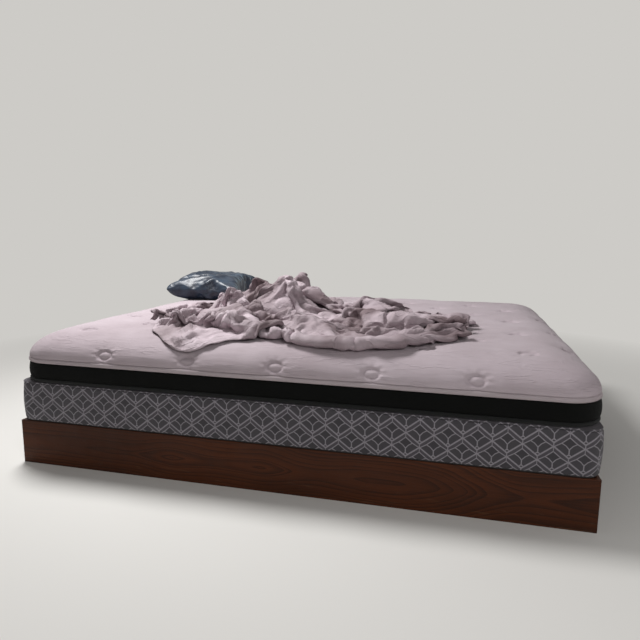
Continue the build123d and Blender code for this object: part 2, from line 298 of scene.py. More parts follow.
def depth_in_divider(tree, place):
    """How far a place lies from the middle of the divider on its side of the bed."""
    return maths(tree, "SUBTRACT", maths(tree, "ABSOLUTE", place[0]), divider_high.x - divider_thickness / 2)


deck_ply = plywood("plywood deck", depth_in_deck, deck_high.z - deck_low.z, turn=(0, 0, 0))
divider_ply = plywood("plywood dividers", depth_in_divider, divider_thickness, turn=(0, 0, 90))
dress(deck_ply, "deck_panel")
dress(divider_ply, "bay_dividers")

# Hinges
# Zinc-plated butt hinges of folded steel, let into deck and rail, each leaf held by three
# countersunk screws. Leaves, pins and screws have the same spangled, partly dulled plating.
zinc = colour(168, 166, 160)
zinc_dull = colour(120, 116, 108)
steel, tree, shader = new_material("zinc-plated steel", Metallic=1.0)
spot = add(tree, "TexCoord").outputs["Object"]
spangle = add(tree, "TexVoronoi", {"Vector": spot, "Scale": 260.0}).outputs["Color"]
spangle = add(tree, "SeparateColor", {0: spangle}).outputs[0]
bloom = ramp(tree, cloud(tree, spot, 60.0, 4.0), 0.4, 0.7)
dulled = maths(tree, "MULTIPLY_ADD", spangle, 0.3, maths(tree, "MULTIPLY", bloom, 0.6))
paint = mixed(tree, dulled, zinc, zinc_dull)
brushed = cloud(tree, moved(tree, spot, scale=(40, 1500, 1500)), 1.0, 2.0)
connect(tree, shader, paint, ramp(tree, bloom, 0.0, 1.0, 0.3, 0.55), brushed, 0.0001)
dress(steel, "hinge_leaves_fixed", "hinge_leaves_moving", "hinge_pins")

screw_radius = 0.0036
screw_depth = 0.0006
screw_proud = 0.0001
screw_rows = (-0.026, 0.0, 0.026)
screw_from_axis = 0.0165
slot_length = screw_radius * 1.1
slot_width = screw_radius * 0.24
slot_depth = screw_depth * 0.5
slot_turn_per_metre = 40
leaf_gap = 0.0003
pins_low, pins_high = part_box("hinge_pins")
hinge_axis = (pins_low + pins_high) / 2
hinge_width = 0.076
hinge_places = [side * (pins_high.x - hinge_width / 2) for side in (-1, 0, 1)]


def countersunk_screws(name, body, facing):
    """The heads of one set of leaves' screws, a hair proud of the leaf, each marked with a cross."""
    bm = bmesh.new()
    face = hinge_axis.z - facing * leaf_gap / 2
    for x in [place + row for place in hinge_places for row in screw_rows]:
        place = Matrix.Translation((x, hinge_axis.y - screw_from_axis, face + facing * screw_proud))
        flip = Matrix.Rotation(0 if facing > 0 else pi, 4, "X")
        turned = place @ flip
        made = bmesh.ops.create_circle(bm, cap_ends=True, segments=24, radius=screw_radius, matrix=turned)
        head = made["verts"][0].link_faces[0]
        rim = bmesh.ops.extrude_face_region(bm, geom=[head])
        lower = [v for v in rim["geom"] if isinstance(v, bmesh.types.BMVert)]
        bmesh.ops.translate(bm, verts=lower, vec=(0, 0, -facing * screw_depth))
        slot_size = Matrix.Diagonal((slot_length, slot_width, slot_depth, 1.0))
        for turn in (0, pi / 2):
            spin = Matrix.Rotation(turn + x * slot_turn_per_metre, 4, "Z")
            bmesh.ops.create_cube(bm, size=1.0, matrix=place @ spin @ slot_size)
    bmesh.ops.recalc_face_normals(bm, faces=bm.faces)
    return add_piece(name, bm, steel, body, smooth=False)


def make_object(name, bm):
    """Makes a bmesh an object in the scene."""
    mesh = bpy.data.meshes.new(name)
    bm.to_mesh(mesh)
    bm.free()
    made = bpy.data.objects.new(name, mesh)
    bpy.context.scene.collection.objects.link(made)
    return made


def add_piece(name, bm, material, body, smooth=True):
    """Makes a bmesh a piece that rides on a body, finished with the given material."""
    piece = make_object(name, bm)
    piece.data.polygons.foreach_set("use_smooth", [smooth] * len(piece.data.polygons))
    piece.data.materials.append(material)
    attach(piece, body)
    return piece


countersunk_screws("hinge_screws_fixed", "plinth", 1)
countersunk_screws("hinge_screws_moving", "deck", -1)

# Foundation cover
# A low box spring in woven cloth. Its border carries a pale, slightly raised lattice on grey, in rows
# that step by half a motif. A thin black dust cloth closes it below and a plain grey one above.
weave_inputs = (("Vector", "Vector"), ("Threads", "Float"))
weave, given, result = new_effect("weave", weave_inputs, (("Height", "Float"),))
spot = add(weave, "SeparateXYZ", {0: given["Vector"]}).outputs
warp = maths(weave, "MULTIPLY", spot[0], given["Threads"])
weft = maths(weave, "MULTIPLY", spot[1], given["Threads"])
crossing = maths(weave, "ADD", maths(weave, "FLOOR", warp), maths(weave, "FLOOR", weft))
over = maths(weave, "PINGPONG", crossing, 1.0)
warp_thread = maths(weave, "ABSOLUTE", maths(weave, "SINE", maths(weave, "MULTIPLY", warp, pi)))
weft_thread = maths(weave, "ABSOLUTE", maths(weave, "SINE", maths(weave, "MULTIPLY", weft, pi)))
mix_inputs = {0: over, 2: warp_thread, 3: weft_thread}
height = add(weave, "Mix", mix_inputs, data_type="FLOAT").outputs[0]
weave.links.new(height, result["Height"])

# One drawn line of the lattice, 1 on the line and 0 beside it
line, given, result = new_effect(
    "lattice line",
    (("Vector", "Vector"), ("From", "Vector"), ("To", "Vector"), ("Half Width", "Float")),
    (("Mask", "Float"),),
)
reach = add(line, "VectorMath", {0: given["To"], 1: given["From"]}, operation="SUBTRACT").outputs[0]
away = add(line, "VectorMath", {0: given["Vector"], 1: given["From"]}, operation="SUBTRACT").outputs[0]
along = add(line, "VectorMath", {0: away, 1: reach}, operation="DOT_PRODUCT").outputs["Value"]
whole = add(line, "VectorMath", {0: reach, 1: reach}, operation="DOT_PRODUCT").outputs["Value"]
share = ramp(line, maths(line, "DIVIDE", along, whole), 0.0, 1.0)
nearest = add(line, "VectorMath", {0: reach, "Scale": share}, operation="SCALE").outputs[0]
gap = add(line, "VectorMath", {0: away, 1: nearest}, operation="DISTANCE").outputs["Value"]
soft = maths(line, "MULTIPLY", given["Half Width"], 0.6)
past = maths(line, "DIVIDE", maths(line, "SUBTRACT", gap, given["Half Width"]), soft)
line.links.new(ramp(line, past, -0.5, 0.5, 1.0, 0.0), result["Mask"])

# The motif hangs from its apex at (0, 0), its sizes in shares of the pitch, and is mirrored in x.
# Columns: from, to, half width.
lattice_pitch = 0.080
lattice_row = 0.525
lattice_lines = (
    ((0.0, 0.0), (0.5, 0.39), 0.026),
    ((0.5, 0.39), (0.5, 0.525), 0.017),
    ((0.0, 0.18), (0.25, 0.39), 0.017),
    ((0.25, 0.39), (0.5, 0.54), 0.017),
    ((0.0, 0.0), (0.0, 0.18), 0.012),
    ((0.25, 0.39), (0.11, 0.475), 0.017),
    ((0.11, 0.475), (0.0, 0.6), 0.017),
    ((0.0, 0.6), (0.0, 0.8), 0.019),
    ((0.0, 0.77), (0.09, 0.855), 0.016),
)
# Edges of the two filled shapes, each a slope and the place where it starts at x = 0
diamond_top = (0.78, 0.2)
diamond_foot = (-0.70, 0.6)
petal_top_near = (-0.704, 0.6)
petal_top_far = (0.565, 0.257)
petal_foot = (-0.78, 0.915)
lattice_outputs = (("Lines", "Float"), ("Diamond", "Float"), ("Petal", "Float"))
lattice, given, result = new_effect("lattice", (("Vector", "Vector"),), lattice_outputs)
drawn = 0.0
diamond = 0.0
petal = 0.0
for shift_x, shift_y in ((0.0, 0.0), (0.5, lattice_row)):
    spot = add(lattice, "SeparateXYZ", {0: given["Vector"]}).outputs
    x = maths(lattice, "PINGPONG", maths(lattice, "ADD", spot[0], shift_x), 0.5)
    y = maths(lattice, "FLOORED_MODULO", maths(lattice, "ADD", spot[1], shift_y), 2 * lattice_row)
    folded = add(lattice, "CombineXYZ", {0: x, 1: y}).outputs[0]
    for start, end, half_width in lattice_lines:
        inputs = {"Vector": folded, "From": (*start, 0), "To": (*end, 0), "Half Width": half_width}
        drawn = maths(lattice, "MAXIMUM", drawn, add(lattice, "Group", inputs, node_tree=line).outputs[0])
    past_top = maths(lattice, "GREATER_THAN", y, maths(lattice, "MULTIPLY_ADD", x, *diamond_top))
    before_foot = maths(lattice, "LESS_THAN", y, maths(lattice, "MULTIPLY_ADD", x, *diamond_foot))
    inside = maths(lattice, "MULTIPLY", past_top, before_foot)
    diamond = maths(lattice, "MAXIMUM", diamond, inside)
    near_edge = maths(lattice, "MULTIPLY_ADD", x, *petal_top_near)
    far_edge = maths(lattice, "MULTIPLY_ADD", x, *petal_top_far)
    past_top = maths(lattice, "GREATER_THAN", y, maths(lattice, "MAXIMUM", near_edge, far_edge))
    before_foot = maths(lattice, "LESS_THAN", y, maths(lattice, "MULTIPLY_ADD", x, *petal_foot))
    inside = maths(lattice, "MULTIPLY", past_top, before_foot)
    petal = maths(lattice, "MAXIMUM", petal, inside)
lattice.links.new(drawn, result["Lines"])
lattice.links.new(diamond, result["Diamond"])
lattice.links.new(petal, result["Petal"])


def place_round(x, y, half_x, half_y, corner):
    """How far round a rounded rectangle the point (x, y) lies, from the middle of its back."""
    straight_x, straight_y = half_x - corner, half_y - corner
    near_x = max(-straight_x, min(straight_x, x))
    near_y = max(-straight_y, min(straight_y, y))
    turn = atan2(near_x - x, y - near_y) % (2 * pi)
    straights = (
        -near_x,
        straight_x + straight_y - near_y,
        2 * straight_x + 2 * straight_y + near_x,
        3 * straight_x + 3 * straight_y + near_y,
        4 * straight_x + 4 * straight_y - near_x,
    )
    return straights[round(turn / (pi / 2))] + corner * turn


def length_round(half_x, half_y, corner):
    """The whole way round a rounded rectangle."""
    return 4 * (half_x + half_y - 2 * corner) + 2 * pi * corner


def map_cloth(bm, half_x, half_y, corner):
    """Lays a UV map over a slab, in metres: round and up its walls, and flat on the rest."""
    chart = bm.loops.layers.uv.new("cloth")
    whole = length_round(half_x, half_y, corner)
    for face in bm.faces:
        if abs(face.normal.z) > 0.8:
            for loop in face.loops:
                loop[chart].uv = loop.vert.co.xy
            continue
        first = place_round(*face.calc_center_median().xy, half_x, half_y, corner)
        for loop in face.loops:
            u = place_round(*loop.vert.co.xy, half_x, half_y, corner)
            loop[chart].uv = (u - whole * round((u - first) / whole), loop.vert.co.z)


def cloth_slab(node, corner, edge, columns=60, rows=6, bulge=0.0, ripple=0.0, seed=0.0):
    """The node's slab with rounded corners and edges, its walls bulged and rippled as cloth is."""
    low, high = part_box(node)
    middle, size = (low + high) / 2, high - low
    bm = bmesh.new()
    place = Matrix.Translation(middle) @ Matrix.Diagonal((*size, 1))
    bmesh.ops.create_cube(bm, size=1.0, matrix=place)
    upright = [e for e in bm.edges if abs(e.verts[0].co.z - e.verts[1].co.z) > size.z / 2]
    bmesh.ops.bevel(bm, geom=upright, offset=corner, affect="EDGES", segments=10, profile=0.5, material=-1)
    long_sides = [e for e in bm.edges if e.calc_length() > size.y / 2]
    bmesh.ops.subdivide_edges(bm, edges=long_sides, cuts=columns)
    rims = [e for e in bm.edges if abs(e.verts[0].co.z - e.verts[1].co.z) < size.z / 2]
    bmesh.ops.bevel(bm, geom=rims, offset=edge, affect="EDGES", segments=4, profile=0.5, material=-1)
    upright = [e for e in bm.edges if abs(e.verts[0].co.z - e.verts[1].co.z) > size.z / 3]
    if rows > 1 and upright:
        bmesh.ops.subdivide_edges(bm, edges=upright, cuts=rows - 1)
    bm.normal_update()
    shifts = []
    for v in bm.verts:
        share = (v.co.z - low.z) / size.z
        wave = noise.noise(Vector((v.co.x * 3.1, v.co.y * 3.1, seed + v.co.z * 6)))
        out = bulge * sin(pi * share) + ripple * wave
        shifts.append(Vector((v.normal.x, v.normal.y, 0)) * out)
    for v, shift in zip(bm.verts, shifts):
        v.co += shift
    bm.normal_update()
    map_cloth(bm, size.x / 2, size.y / 2, corner)
    return bm


def plain_cloth(name, paint, threads, depth, mottle=0.12, **fixed):
    """Plain woven cloth, its colour a little uneven."""
    material, tree, shader = new_material(name, **fixed)
    spot = add(tree, "UVMap", uv_map="cloth").outputs[0]
    woven = add(tree, "Group", {"Vector": spot, "Threads": threads}, node_tree=weave).outputs[0]
    uneven = cloud(tree, moved(tree, spot, scale=(6, 6, 6)), 1.0, 5.0, 0.6)
    darker = tuple(channel * (1 - 2 * mottle) for channel in paint[:3]) + (1.0,)
    shade = mixed(tree, ramp(tree, uneven, 0.3, 0.7), darker, paint)
    shade = mixed(tree, maths(tree, "MULTIPLY", maths(tree, "SUBTRACT", 1.0, woven), 0.35), shade, darker)
    rough = ramp(tree, uneven, 0.3, 0.7, 0.78, 0.92)
    connect(tree, shader, shade, rough, woven, depth)
    return material


lattice_ground = colour(70, 66, 72)
lattice_dark = colour(50, 47, 52)
lattice_mid = colour(59, 56, 61)
lattice_pale = colour(150, 145, 152)
lattice_apex_x = 0.0453
lattice_apex_z = 0.2827
foundation_corner = 0.045
border_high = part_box("foundation_border")[1]
front_middle = length_round(border_high.x, border_high.y, foundation_corner) / 2

patterned, tree, shader = new_material("lattice cloth", Sheen_Weight=0.12, Sheen_Roughness=0.5)
chart = add(tree, "UVMap", uv_map="cloth").outputs[0]
motif = moved(
    tree,
    chart,
    (-(front_middle + lattice_apex_x) / lattice_pitch, lattice_apex_z / lattice_pitch, 0),
    scale=(1 / lattice_pitch, -1 / lattice_pitch, 1),
)
motif = add(tree, "Group", {"Vector": motif}, node_tree=lattice).outputs
paint = mixed(tree, motif["Petal"], lattice_ground, lattice_mid)
paint = mixed(tree, motif["Diamond"], paint, lattice_dark)
worn_line = ramp(tree, cloud(tree, chart, 260.0, 2.0), 0.3, 0.6, 0.72, 1.0)
paint = mixed(tree, maths(tree, "MULTIPLY", motif["Lines"], worn_line), paint, lattice_pale)
woven = add(tree, "Group", {"Vector": chart, "Threads": 1100.0}, node_tree=weave).outputs[0]
heather = cloud(tree, moved(tree, chart, scale=(300, 900, 1)), 1.0, 2.0)
paint = mixed(tree, ramp(tree, heather, 0.35, 0.7, 0.0, 0.28), paint, lattice_dark)
raised = maths(tree, "MULTIPLY_ADD", motif["Lines"], 1.0, maths(tree, "MULTIPLY", woven, 0.35))
connect(tree, shader, paint, ramp(tree, heather, 0.3, 0.7, 0.7, 0.88), raised, 0.0005)

border_shape = {"edge": 0.006, "columns": 72, "rows": 8, "bulge": 0.0035, "ripple": 0.003, "seed": 2.0}
border = cloth_slab("foundation_border", foundation_corner, **border_shape)
border = add_piece("foundation_side_cloth", border, patterned, "deck")
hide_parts("foundation_border")

dust_black = plain_cloth("dust cloth", colour(38, 37, 38), threads=700.0, depth=0.0002)
dust_cover = cloth_slab("foundation_dust_cover", corner=0.040, edge=0.0012, columns=30, rows=1)
dust_cover = add_piece("foundation_base_cloth", dust_cover, dust_black, "deck")
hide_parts("foundation_dust_cover")

plain_grey = plain_cloth("plain grey cloth", colour(82, 78, 83), threads=800.0, depth=0.0003)
top_shape = {"edge": 0.0028, "columns": 72, "rows": 1, "ripple": 0.001, "seed": 7.0}
top_cloth = cloth_slab("foundation_top_cloth", foundation_corner, **top_shape)
top_cloth = add_piece("foundation_upper_cloth", top_cloth, plain_grey, "deck")
top_cloth.data.materials.append(patterned)
for face in top_cloth.data.polygons:
    face.material_index = 1 if abs(face.normal.z) < 0.8 else 0
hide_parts("foundation_top_cloth")

# Mattress sides
# The underside is grey non-woven cloth. Above it, a rolled black tape binds the seam, a padded
# black knit band goes round, and a white flange is stitched on under the top.
mattress_corner = 0.110
underside_grey = plain_cloth("mattress underside", colour(96, 94, 96), threads=700.0, depth=0.0002)
underside = cloth_slab("mattress_underside", corner=0.100, edge=0.0012, columns=30, rows=1)
underside = add_piece("mattress_base_cloth", underside, underside_grey, "deck")
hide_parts("mattress_underside")

band_finish = {"mottle": 0.2, "Sheen_Weight": 0.01, "Specular_IOR_Level": 0.12}
black_band = plain_cloth("black knit band", colour(7, 8, 7), threads=620.0, depth=0.0004, **band_finish)
band_shape = {"edge": 0.008, "columns": 90, "rows": 8, "bulge": 0.004, "ripple": 0.0035, "seed": 4.0}
band = cloth_slab("mattress_border", mattress_corner - 0.003, **band_shape)
band = add_piece("mattress_side_band", band, black_band, "deck")
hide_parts("mattress_border")

tape_finish = {"mottle": 0.2, "Sheen_Weight": 0.04, "Specular_IOR_Level": 0.3}
tape_black = plain_cloth("black tape", colour(17, 19, 19), threads=1400.0, depth=0.0003, **tape_finish)
tape_shape = {"edge": 0.0042, "columns": 90, "rows": 1, "ripple": 0.0012, "seed": 5.0}
tape = cloth_slab("mattress_tape", mattress_corner, **tape_shape)
tape = add_piece("mattress_tape_edge", tape, tape_black, "deck")
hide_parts("mattress_tape")

flange_paint = colour(186, 173, 177)
flange_white = plain_cloth("white flange cloth", flange_paint, threads=900.0, depth=0.0003, mottle=0.06)
flange_shape = {"edge": 0.006, "columns": 90, "rows": 3, "bulge": 0.001, "ripple": 0.0025, "seed": 6.0}
flange = cloth_slab("mattress_flange", mattress_corner - 0.001, **flange_shape)
flange = add_piece("mattress_flange_strip", flange, flange_white, "deck")
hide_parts("mattress_flange")

# Mattress top
# White knit over foam. The edge rolls over to the flange, and tufts in staggered rows pull the
# cloth down to a stitched ring each, with a small dome inside and puckers around.
top_low, top_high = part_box("mattress_top")
half_length, half_width = top_high.x, top_high.y
top_skirt = 0.004
roll_width = 0.165
roll_height = top_high.z - top_low.z - top_skirt
flat_corner = 0.060


def inset_at(step, rings, spacing):
    """How far in from the edge a ring of the grid lies, counted from the outside."""
    if step <= rings:
        return roll_width * (1 - cos(pi / 2 * step / rings))
    return roll_width + (step - rings) * spacing


def bent_grid(rings, spacing):
    """A grid bent to the mattress top: rings along the roll, then squares of about the spacing."""
    across_x = round(2 * (half_length - roll_width) / spacing)
    across_y = round(2 * (half_width - roll_width) / spacing)
    bm = bmesh.new()
    bmesh.ops.create_grid(bm, x_segments=across_x + 2 * rings, y_segments=across_y + 2 * rings, size=0.5)
    chart = bm.loops.layers.uv.new("cloth")
    counts = (across_x, across_y)
    halves = (half_length, half_width)
    for v in bm.verts:
        steps, places = [], []
        for along, count, half in zip(v.co.xy, counts, halves):
            step = round((0.5 - abs(along)) * (count + 2 * rings))
            exact = 2 * (half - roll_width) / count
            steps.append(step)
            places.append((half - inset_at(step, rings, exact)) * (1 if along > 0 else -1))
        ring = min(steps)
        inset = inset_at(ring, rings, spacing)
        share = min(1.0, inset / roll_width)
        corner = mattress_corner + (flat_corner - mattress_corner) * share
        corner = max(0.0, corner - max(0.0, inset - roll_width))
        edge_x, edge_y = half_length - inset - corner, half_width - inset - corner
        x, y = abs(places[0]), abs(places[1])
        if corner > 0 and x > edge_x and y > edge_y:
            turn = pi / 4 * (min(x - edge_x, y - edge_y) / corner)
            if steps[0] < steps[1]:
                turn = pi / 2 - turn
            x, y = edge_x + corner * sin(turn), edge_y + corner * cos(turn)
        rise = sin(pi / 2 * min(1.0, ring / rings))
        z = top_low.z + top_skirt + roll_height * rise
        v.co = (x if places[0] > 0 else -x, y if places[1] > 0 else -y, z)
    bm.normal_update()
    return bm, chart


tuft_columns, tuft_rows = 7, 11
tuft_pitch_x, tuft_pitch_y = 0.297, 0.154
turn_step = 0.005


def place_on_cloth(distance, half):
    """Where a point of the cloth lies that far from the middle: how far out, and its height."""
    turn = pi / 2
    left = abs(distance) - (half - roll_width)
    while left > 0:
        turn -= turn_step
        left -= turn_step * hypot(roll_width * sin(turn), roll_height * cos(turn))
    height = top_low.z + top_skirt + roll_height * sin(turn)
    out = min(abs(distance), half - roll_width * (1 - cos(turn)))
    return (out if distance > 0 else -out), height


def tuft_centres():
    """Where the tufts sit, in staggered rows, none of them in the four corners."""
    for row in range(tuft_rows):
        in_row = tuft_columns - row % 2
        y, height_y = place_on_cloth(tuft_pitch_y * (row - (tuft_rows - 1) / 2), half_width)
        for column in range(in_row):
            x, height_x = place_on_cloth(tuft_pitch_x * (column - (in_row - 1) / 2), half_length)
            if not (row in (0, tuft_rows - 1) and column in (0, in_row - 1)):
                yield Vector((x, y, min(height_x, height_y)))


tuft_reach = 0.080
tuft_ring = 0.0240
tuft_oval = 1.18
dip_depth, dip_radius = 0.0075, 0.038
step_depth, step_width = 0.0060, 0.0014
dome_height, dome_radius = 0.0075, 0.0195
pucker_depth, pucker_radius, pucker_width = 0.0008, 0.034, 0.010
puckers_round = 9
tuft_fade = 0.02
fine_reach = 0.046
fine_cuts = 3
# Below the edge, how far each ring of the skirt hangs and how far it is drawn in
skirt_rings = ((0.0032, 0.0), (top_skirt, 0.0035), (top_skirt, 0.03))

bm, chart = bent_grid(rings=24, spacing=0.012)
centres = list(tuft_centres())
places = kdtree.KDTree(len(centres))
for i, centre in enumerate(centres):
    places.insert(centre, i)
places.balance()
near = [f for f in bm.faces if places.find(f.calc_center_median())[2] < fine_reach]
edges = {e for f in near for e in f.edges}
bmesh.ops.subdivide_edges(bm, edges=list(edges), cuts=fine_cuts, use_grid_fill=True)
bm.normal_update()
moves = []
for v in bm.verts:
    low_wave = noise.noise(v.co * 3.4) * 0.0035 + noise.noise(v.co * 9.0 + Vector((4, 0, 0))) * 0.0012
    on_roll = 1 - min(1.0, max(0.0, min(half_length - abs(v.co.x), half_width - abs(v.co.y)) / roll_width))
    crease = noise.noise(Vector((v.co.x * 9, v.co.y * 9, v.co.z * 75 + 11)))
    move = v.normal * (low_wave + 0.0016 * on_roll * max(0.0, crease - 0.1))
    centre, index, far = places.find(v.co)
    if far < tuft_reach:
        away = v.co - centre
        away -= v.normal * away.dot(v.normal)
        along, across = away.x / tuft_oval, hypot(away.y, away.z) * tuft_oval
        radius = hypot(along, across)
        angle = atan2(across if away.y + away.z > 0 else -across, along)
        dip = dip_depth * exp(-((radius / dip_radius) ** 2))
        step = step_depth / (1 + exp((radius - tuft_ring) / step_width))
        dome = dome_height * max(0.0, 1 - (radius / dome_radius) ** 2) ** 1.2
        pucker = pucker_depth * cos(puckers_round * angle + index)
        pucker *= exp(-(((radius - pucker_radius) / pucker_width) ** 2))
        fade = min(1.0, (tuft_reach - far) / tuft_fade)
        move += v.normal * (-dip - step + dome + pucker) * fade
    moves.append(move)
for v, move in zip(bm.verts, moves):
    v.co += move
rim = [e for e in bm.edges if e.is_boundary]
for drop, pull in skirt_rings:
    made = bmesh.ops.extrude_edge_only(bm, edges=rim)["geom"]
    rim = [e for e in made if isinstance(e, bmesh.types.BMEdge)]
    for v in {v for e in rim for v in e.verts}:
        v.co.z = top_low.z + top_skirt - drop
        v.co.xy -= v.co.xy.normalized() * pull
bmesh.ops.edgeloop_fill(bm, edges=rim)
bmesh.ops.recalc_face_normals(bm, faces=bm.faces)
for face in bm.faces:
    for loop in face.loops:
        loop[chart].uv = (loop.vert.co.x, loop.vert.co.y + loop.vert.co.z)

# Thin sharp folds where a soft field passes its middle value, in patches
creases, given, result = new_effect(
    "fine creases", (("Vector", "Vector"), ("Width", "Float"), ("Patch", "Float")), (("Height", "Float"),)
)
off = maths(creases, "ABSOLUTE", maths(creases, "SUBTRACT", cloud(creases, given["Vector"], 1.0, 2.0), 0.5))
thin = maths(creases, "SUBTRACT", 1.0, ramp(creases, maths(creases, "DIVIDE", off, given["Width"]), 0.0, 1.0))
patch = cloud(creases, moved(creases, given["Vector"], (7, 3, 1), scale=(0.3, 0.3, 0.3)), 1.0)
patch = ramp(creases, maths(creases, "SUBTRACT", patch, given["Patch"]), 0.0, 0.1)
creases.links.new(maths(creases, "MULTIPLY", thin, patch), result["Height"])


def creased(tree, spot, width, patch, turn=(0, 0, 0), scale=(1, 1, 1)):
    """The height of fine creases that are turned and scaled to lie along a cloth."""
    inputs = {"Vector": moved(tree, spot, turn=turn, scale=scale), "Width": width, "Patch": patch}
    return add(tree, "Group", inputs, node_tree=creases).outputs[0]


knit_white = colour(186, 173, 179)
knit_stained = colour(164, 150, 155)
knit, tree, shader = new_material(
    "white knit", Sheen_Weight=0.08, Sheen_Roughness=0.5, Specular_IOR_Level=0.3
)
spot = add(tree, "TexCoord").outputs["Object"]
stitches = add(tree, "Group", {"Vector": spot, "Threads": 520.0}, node_tree=weave).outputs[0]
fold = cloud(tree, moved(tree, spot, scale=(12, 40, 80)), 1.0, 3.0)
lines = creased(tree, spot, width=0.05, patch=0.46, scale=(13, 34, 90))
stain = cloud(tree, spot, 3.2, 5.0, 0.6)
paint = mixed(tree, ramp(tree, stain, 0.35, 0.75), knit_white, knit_stained)
height = maths(tree, "MULTIPLY_ADD", stitches, 0.10, maths(tree, "MULTIPLY_ADD", lines, 0.55, fold))
connect(tree, shader, paint, ramp(tree, stain, 0.3, 0.7, 0.8, 0.92), height, 0.0018)
tufted = add_piece("mattress_tufted_top", bm, knit, "deck")
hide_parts("mattress_top")

# Sheet
# One light flat sheet thrown in a heap along the front of the bed. It drops in loose pleats over
# hidden lumps and settles again on a finer grid. Then its heights are lowered, its small bumps
# calmed, its folds sharpened, and creases pressed in.
sheet_size = (1.93, 1.37)
sheet_step = 0.0193
sheet_thickness = 0.0010
sheet_start = 0.14
sheet_seed = Vector((306.6, 3.1, 0.0))
hidden_lumps = (
    ((-0.18, -0.14), (0.15, 0.15, 0.12)),
    ((-0.30, -0.44), (0.11, 0.09, 0.07)),
    ((0.02, -0.47), (0.12, 0.08, 0.05)),
)
# Share of the sheet's length, and the place along the bed where it lies
sheet_course = ((0.0, -0.78), (0.25, -0.50), (0.64, 0.06), (1.0, 0.76))
# Place along the bed, and there: the heap's front, its back, the height of its pleats, its lift,
# and how much the pleats are crossed by others
heap_course = (
    (-0.80, -0.580, 0.080, 0.050, 0.000, 1.0),
    (-0.40, -0.660, 0.160, 0.078, 0.073, 1.0),
    (-0.25, -0.671, 0.167, 0.083, 0.100, 1.0),
    (-0.15, -0.679, 0.130, 0.080, 0.077, 1.0),
    (0.00, -0.690, 0.075, 0.075, 0.043, 0.55),
    (0.10, -0.690, 0.044, 0.070, 0.020, 0.25),
    (0.20, -0.690, 0.014, 0.065, 0.017, 0.24),
    (0.30, -0.690, -0.015, 0.064, 0.014, 0.23),
    (0.75, -0.640, -0.140, 0.060, 0.000, 0.20),
)


def between(stops, at):
    """The values at a place among stops, each a place and its values, joined by straight lines."""
    for before, after in zip(stops, stops[1:]):
        if at <= after[0] or after is stops[-1]:
            share = max(0.0, min(1.0, (at - before[0]) / (after[0] - before[0])))
            return [a + (b - a) * share for a, b in zip(before[1:], after[1:])]


def thrown_place(u, v):
    """Where a point of the sheet starts, u and v being its shares of the length and the width."""
    x = between(sheet_course, u)[0]
    front, back, pleat_height, lift, crossed = between(heap_course, x)
    drift = noise.noise(Vector((x * 1.6, v * 1.2, 0)) + sheet_seed)
    cross_drift = noise.noise(Vector((x * 3.1, v * 2.3, 5)) + sheet_seed)
    pleat = 2 * pi * (4.5 * v + 1.2 * drift + 0.6 * x)
    cross = 2 * pi * (5.0 * u + 0.9 * cross_drift + 0.6 * v)
    rough = noise.noise(Vector((u * sheet_size[0] * 9, v * sheet_size[1] * 9, 9)) + sheet_seed)
    heap = lift * exp(-(((v - 0.5) / 0.35) ** 2))
    y = front + (back - front) * v + 0.02 * cos(pleat)
    z = pleat_height * (sin(pleat) + 0.45 * crossed * sin(cross)) + heap
    z += 0.03 * (0.3 + 0.7 * crossed) * rough
    return Vector((x, y, top_high.z + sheet_start + z))


def make_obstacle(name, bm):
    """A hidden shape that cloth lies on while it is simulated."""
    obstacle = make_object(name, bm)
    obstacle.modifiers.new("Collision", "COLLISION")
    obstacle.collision.thickness_outer = 0.003
    obstacle.collision.thickness_inner = 0.05
    obstacle.collision.cloth_friction = 20.0
    obstacle.collision.damping = 0.6
    return obstacle


def settle(cloth, flat, frames, quality, stiffness, bending, gap, gravity=1.0, pressure=0.0):
    """Lets an object fall and fold as cloth whose points lie at the flat places when it is laid out."""
    rest = cloth.shape_key_add(name="flat")
    start = cloth.shape_key_add(name="start")
    for point, place in zip(rest.data, flat):
        point.co = place
    start.value = 1.0
    cloth_modifier = cloth.modifiers.new("Cloth", "CLOTH")
    settings = cloth_modifier.settings
    settings.quality = quality
    settings.mass = 0.3
    settings.tension_stiffness = stiffness
    settings.compression_stiffness = stiffness
    settings.shear_stiffness = 5.0
    settings.bending_stiffness = bending
    settings.tension_damping = settings.compression_damping = settings.shear_damping = 5.0
    settings.bending_damping = 0.8
    settings.rest_shape_key = rest
    settings.effector_weights.gravity = gravity
    settings.use_pressure = pressure > 0
    settings.uniform_pressure_force = pressure
    touch = cloth_modifier.collision_settings
    touch.collision_quality = 2
    touch.distance_min = 0.003
    touch.friction = 20.0
    touch.use_self_collision = gap > 0
    touch.self_distance_min = max(gap, 0.001)
    touch.self_friction = 15.0
    cloth_modifier.point_cache.frame_end = frames
    for frame_number in range(1, frames + 1):
        bpy.context.scene.frame_set(frame_number)
    now = bpy.context.evaluated_depsgraph_get()
    mesh = bpy.data.meshes.new_from_object(cloth.evaluated_get(now))
    bpy.data.objects.remove(cloth)
    bpy.context.scene.frame_set(1)
    return mesh


obstacles = []
bm = bent_grid(rings=8, spacing=0.04)[0]
rim = [e for e in bm.edges if e.is_boundary]
made = bmesh.ops.extrude_edge_only(bm, edges=rim)["geom"]
for v in made:
    if isinstance(v, bmesh.types.BMVert):
        v.co.z = deck_high.z
bmesh.ops.recalc_face_normals(bm, faces=bm.faces)
obstacles.append(make_obstacle("bed_shape", bm))
for (x, y), radii in hidden_lumps:
    bm = bmesh.new()
    place = Matrix.Translation((x, y, top_high.z - 0.01)) @ Matrix.Diagonal((*radii, 1))
    bmesh.ops.create_uvsphere(bm, u_segments=24, v_segments=14, radius=1.0, matrix=place)
    obstacles.append(make_obstacle("lump_shape", bm))

